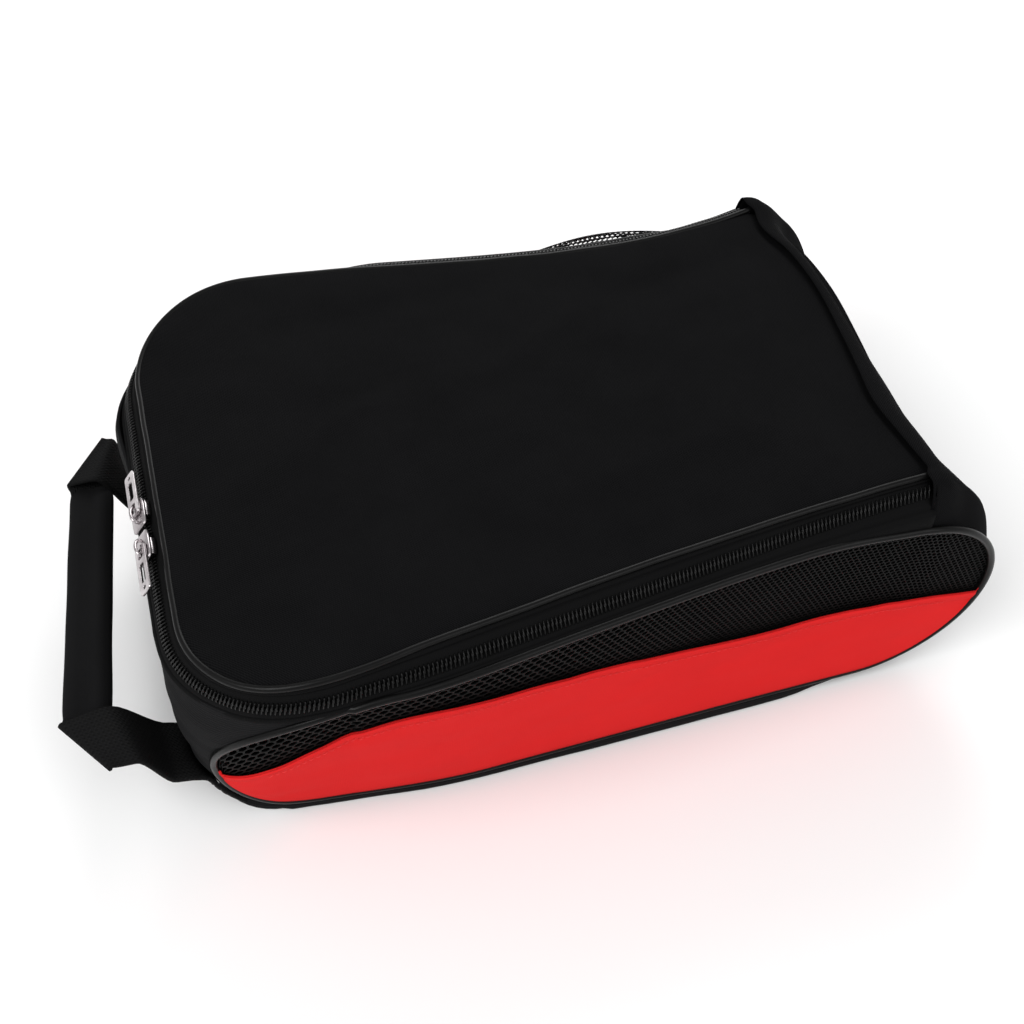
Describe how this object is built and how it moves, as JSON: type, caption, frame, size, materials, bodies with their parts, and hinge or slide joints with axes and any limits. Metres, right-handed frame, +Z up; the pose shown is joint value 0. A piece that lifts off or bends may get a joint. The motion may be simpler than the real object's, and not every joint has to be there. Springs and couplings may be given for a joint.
{
  "type": "golf shoe bag",
  "caption": "Soft zipped shoe bag lying on its back, with a piped lid, oval mesh and cloth side panels and a webbing carry handle at one end.",
  "frame": {"origin": "on the flat underside of the back panel, under the middle of the lid", "axes": "+X from the handle end to the toe end, +Z up out of the lid, -Y the near side"},
  "size_m": [0.4254, 0.255, 0.1456],
  "materials": {
    "black_cloth": "woven, matt",
    "red_cloth": "woven, matt",
    "black_mesh": "open knitted mesh",
    "black_pvc": "glossy",
    "zipper_nylon": "satin",
    "webbing": "coarse weave, matt",
    "nickel": "plated, glossy"
  },
  "bodies": {
    "bag_body": {"back_panel": "black_cloth", "handle_end_panel": "black_cloth", "toe_end_panel": "black_cloth", "side_mesh_near": "black_mesh", "side_mesh_far": "black_mesh", "side_red_panel_near": "red_cloth", "side_red_panel_far": "red_cloth", "side_piping_near": "black_pvc", "side_piping_far": "black_pvc", "seam_binding_near": "black_cloth", "seam_binding_far": "black_cloth", "zipper_tape_body": "black_cloth", "zipper_coil_body": "zipper_nylon", "handle_anchor_near": "webbing", "handle_anchor_far": "webbing"},
    "lid": {"lid_panel": "black_cloth", "lid_piping": "black_pvc", "lid_binding": "black_cloth", "zipper_tape_lid": "black_cloth", "zipper_coil_lid": "zipper_nylon"},
    "handle": {"handle_leg_near": "webbing", "handle_leg_far": "webbing", "handle_core": "webbing", "handle_grip_sleeve": "black_cloth"},
    "slider_near_body": {"slider_near": "nickel"},
    "slider_far_body": {"slider_far": "nickel"},
    "puller_near_body": {"puller_near": "nickel"},
    "puller_far_body": {"puller_far": "nickel"}
  },
  "joints": [
    {"name": "lid_hinge", "type": "hinge", "parent": "bag_body", "child": "lid", "pos_m": [0.16, 0, 0.1448], "axis": [0, 1, 0], "range_deg": [0, 115]},
    {"name": "handle_swing", "type": "hinge", "parent": "bag_body", "child": "handle", "pos_m": [-0.1735, 0, 0.042], "axis": [0, 1, 0], "range_deg": [-45, 15]},
    {"name": "slider_near_slide", "type": "slide", "parent": "bag_body", "child": "slider_near_body", "axis": [0, -1, 0], "range_m": [0, 0.027]},
    {"name": "slider_far_slide", "type": "slide", "parent": "bag_body", "child": "slider_far_body", "axis": [0, 1, 0], "range_m": [0, 0.05]},
    {"name": "puller_near_flip", "type": "hinge", "parent": "slider_near_body", "child": "puller_near_body", "pos_m": [-0.17069, -0.023, 0.12061], "axis": [-0.6157, 0, -0.788], "range_deg": [0, 105]},
    {"name": "puller_far_flip", "type": "hinge", "parent": "slider_far_body", "child": "puller_far_body", "pos_m": [-0.17069, -0.004, 0.12061], "axis": [0.6157, 0, 0.788], "range_deg": [0, 105]}
  ]
}
